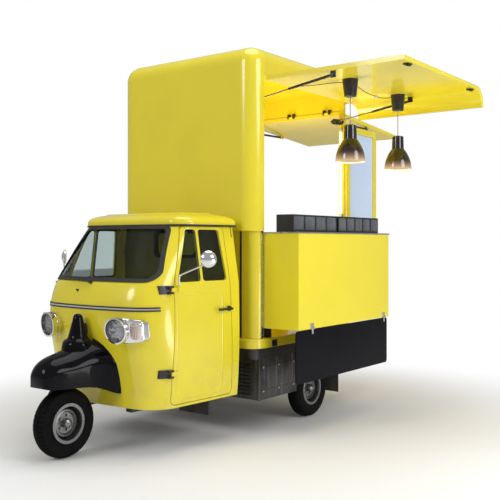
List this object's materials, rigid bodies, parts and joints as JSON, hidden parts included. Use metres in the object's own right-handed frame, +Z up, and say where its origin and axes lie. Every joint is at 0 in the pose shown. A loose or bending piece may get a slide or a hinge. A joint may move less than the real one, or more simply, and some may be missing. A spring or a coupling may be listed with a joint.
{
  "type": "electric food van",
  "caption": "Three-wheel street food van: rounded cab, tall box body with a lift-up serving awning, rear flap, slide-out counter, hinged skirt and pendant lamps.",
  "frame": {"origin": "on the ground, in the middle of the front tyre's contact patch", "axes": "+Z up, +Y towards the rear, +X towards the serving side"},
  "size_m": [2.8155, 4.3706, 3.125],
  "materials": {
    "yellow_grp": "gloss lemon-yellow gel coat",
    "black_gloss": "gloss black",
    "glass": "clear, slightly blue",
    "tinted_pane": "pale blue, half clear",
    "lens": "clear ribbed lens",
    "tail_lens": "red lens",
    "black_rubber": "matte",
    "trim_strip": "black with a bright centre line",
    "chrome": "polished",
    "black_steel": "satin black",
    "floor_paint": "satin grey",
    "seat_vinyl": "black vinyl",
    "case_zinc": "dull, streaked",
    "battery": "matte",
    "tyre": "rubber",
    "rim_steel": "silver paint",
    "black_plastic": "satin black",
    "cord": "thin sheath",
    "shade_metal": "gloss black",
    "bulb": "warm white",
    "strut_tube": "satin black",
    "counter_steel": "brushed"
  },
  "bodies": {
    "van": {"chassis_frame": "black_steel", "cab_shell": "yellow_grp", "cab_roof": "yellow_grp", "cab_glass": "glass", "cab_rubbers": "black_rubber", "front_trim": "trim_strip", "headlamp_bodies": "chrome", "headlamp_lenses": "lens", "front_mudguard": "black_gloss", "cab_floor": "floor_paint", "bench_cushions": "seat_vinyl", "battery_case": "case_zinc", "battery_pack": "battery", "drive_unit": "black_steel", "mudflaps": "black_rubber", "tail_lamps": "tail_lens", "box_roof": "yellow_grp", "box_walls": "yellow_grp", "lower_body": "yellow_grp", "fixed_hardware": "black_steel", "power_inlet": "black_plastic"},
    "steering": {"steering_column": "black_steel", "handlebar_grips": "black_rubber"},
    "front_link": {"front_link": "black_steel"},
    "front_wheel": {"front_tyre": "tyre", "front_rim": "rim_steel"},
    "left_arm": {"left_arm": "black_steel"},
    "right_arm": {"right_arm": "black_steel"},
    "left_wheel": {"left_tyre": "tyre", "left_rim": "rim_steel"},
    "right_wheel": {"right_tyre": "tyre", "right_rim": "rim_steel"},
    "left_door": {"left_door": "yellow_grp", "left_quarter_glass": "glass"},
    "right_door": {"right_door": "yellow_grp", "right_quarter_glass": "glass"},
    "left_window": {"left_drop_pane": "glass"},
    "right_window": {"right_drop_pane": "glass"},
    "left_handle": {"left_door_handle": "black_steel"},
    "right_handle": {"right_door_handle": "black_steel"},
    "left_mirror": {"left_mirror": "chrome"},
    "right_mirror": {"right_mirror": "chrome"},
    "wiper": {"wiper": "black_steel"},
    "awning": {"awning_panel": "yellow_grp", "awning_fittings": "black_plastic", "lamp_leads": "cord"},
    "pendants": {"lamp_cords": "cord", "lamp_shades": "shade_metal", "lamp_bulbs": "bulb"},
    "awning_rods": {"awning_strut_rods": "chrome"},
    "awning_tubes": {"awning_strut_tubes": "strut_tube"},
    "flap": {"rear_flap": "yellow_grp"},
    "flap_rods": {"flap_strut_rods": "chrome"},
    "flap_tubes": {"flap_strut_tubes": "strut_tube"},
    "rear_door": {"rear_door": "yellow_grp", "rear_door_pane": "tinted_pane"},
    "counter": {"counter_box": "yellow_grp", "counter_top": "counter_steel", "display_caddies": "black_plastic"},
    "skirt": {"skirt": "black_gloss"}
  },
  "joints": [
    {"name": "steering_turn", "type": "hinge", "parent": "van", "child": "steering", "pos_m": [0, 0.02, 0.4], "axis": [0, 0.342, 0.9397], "range_deg": [-40, 40]},
    {"name": "front_suspension", "type": "hinge", "parent": "steering", "child": "front_link", "pos_m": [-0.09, -0.108, 0.3005], "axis": [1, 0, 0], "range_deg": [-5, 9], "stiffness_Nm_per_rad": 9000, "springref_deg": -1.54},
    {"name": "front_roll", "type": "hinge", "parent": "front_link", "child": "front_wheel", "pos_m": [0, 0, 0.2485], "axis": [1, 0, 0], "continuous": true},
    {"name": "left_suspension", "type": "hinge", "parent": "van", "child": "left_arm", "pos_m": [0.548, 1.995, 0.4185], "axis": [1, 0, 0], "range_deg": [-5, 9], "stiffness_Nm_per_rad": 30000, "springref_deg": -1.39},
    {"name": "left_roll", "type": "hinge", "parent": "left_arm", "child": "left_wheel", "pos_m": [0.65, 2.2, 0.2485], "axis": [1, 0, 0], "continuous": true},
    {"name": "left_door_swing", "type": "hinge", "parent": "van", "child": "left_door", "pos_m": [0.622, 0.471, 0.9], "axis": [0, 0, -1], "range_deg": [0, 65]},
    {"name": "left_window_wind", "type": "slide", "parent": "left_door", "child": "left_window", "axis": [0, 0, -1], "range_m": [0, 0.19]},
    {"name": "left_handle_turn", "type": "hinge", "parent": "left_door", "child": "left_handle", "pos_m": [0.652, 1.075, 1.03], "axis": [1, 0, 0], "range_deg": [0, 45], "stiffness_Nm_per_rad": 2, "springref_deg": -45.84},
    {"name": "left_mirror_turn", "type": "hinge", "parent": "left_door", "child": "left_mirror", "pos_m": [0.632, 0.53, 1.227], "axis": [0, 0, 1], "range_deg": [-20, 20]},
    {"name": "right_suspension", "type": "hinge", "parent": "van", "child": "right_arm", "pos_m": [-0.548, 1.995, 0.4185], "axis": [1, 0, 0], "range_deg": [-5, 9], "stiffness_Nm_per_rad": 30000, "springref_deg": -1.39},
    {"name": "right_roll", "type": "hinge", "parent": "right_arm", "child": "right_wheel", "pos_m": [-0.65, 2.2, 0.2485], "axis": [1, 0, 0], "continuous": true},
    {"name": "right_door_swing", "type": "hinge", "parent": "van", "child": "right_door", "pos_m": [-0.622, 0.471, 0.9], "axis": [0, 0, 1], "range_deg": [0, 65]},
    {"name": "right_window_wind", "type": "slide", "parent": "right_door", "child": "right_window", "axis": [0, 0, -1], "range_m": [0, 0.19]},
    {"name": "right_handle_turn", "type": "hinge", "parent": "right_door", "child": "right_handle", "pos_m": [-0.652, 1.075, 1.03], "axis": [1, 0, 0], "range_deg": [0, 45], "stiffness_Nm_per_rad": 2, "springref_deg": -45.84},
    {"name": "right_mirror_turn", "type": "hinge", "parent": "right_door", "child": "right_mirror", "pos_m": [-0.632, 0.53, 1.227], "axis": [0, 0, 1], "range_deg": [-20, 20]},
    {"name": "wiper_sweep", "type": "hinge", "parent": "van", "child": "wiper", "pos_m": [0, 0.25501, 1.241], "axis": [0, 0.7675, -0.641], "range_deg": [0, 95]},
    {"name": "awning_lift", "type": "hinge", "parent": "van", "child": "awning", "pos_m": [0.75, 2.1, 2.868], "axis": [0, 1, 0], "range_deg": [0, 60], "stiffness_Nm_per_rad": 140, "springref_deg": -126.05},
    {"name": "pendant_swing", "type": "hinge", "parent": "awning", "child": "pendants", "pos_m": [1.32, 2.2, 2.704], "axis": [0, 1, 0], "range_deg": [-60, 0]},
    {"name": "awning_rod_turn", "type": "hinge", "parent": "van", "child": "awning_rods", "pos_m": [0.615, 2.1, 2.698], "axis": [0, 1, 0], "range_deg": [0, 53.46]},
    {"name": "awning_tube_slide", "type": "slide", "parent": "awning_rods", "child": "awning_tubes", "axis": [0.9886, 0, 0.1506], "range_m": [-0.20391, 0]},
    {"name": "flap_lift", "type": "hinge", "parent": "van", "child": "flap", "pos_m": [0, 2.905, 2.8], "axis": [-1, 0, 0], "range_deg": [0, 85], "stiffness_Nm_per_rad": 75, "springref_deg": -126.05},
    {"name": "flap_rod_turn", "type": "hinge", "parent": "van", "child": "flap_rods", "pos_m": [0, 2.815, 2.7], "axis": [-1, 0, 0], "range_deg": [0, 84.96]},
    {"name": "flap_tube_slide", "type": "slide", "parent": "flap_rods", "child": "flap_tubes", "axis": [0, 0.9999, 0.0115], "range_m": [-0.18188, 0]},
    {"name": "rear_door_swing", "type": "hinge", "parent": "van", "child": "rear_door", "pos_m": [0.579, 2.967, 1.7], "axis": [0, 0, 1], "range_deg": [0, 90]},
    {"name": "counter_slide", "type": "slide", "parent": "van", "child": "counter", "axis": [-1, 0, 0], "range_m": [0, 0.3]},
    {"name": "skirt_lift", "type": "hinge", "parent": "counter", "child": "skirt", "pos_m": [1.078, 2.2, 0.852], "axis": [0, -1, 0], "range_deg": [0, 100]}
  ],
  "couplings": [
    {"joint": "pendant_swing", "follows": "awning_lift", "ratio": -1},
    {"joint": "awning_rod_turn", "follows": "awning_lift", "ratio": 0.89081},
    {"joint": "awning_tube_slide", "follows": "awning_lift", "m_per_rad": -0.19463},
    {"joint": "flap_rod_turn", "follows": "flap_lift", "ratio": 0.99938},
    {"joint": "flap_tube_slide", "follows": "flap_lift", "m_per_rad": -0.12253}
  ]
}
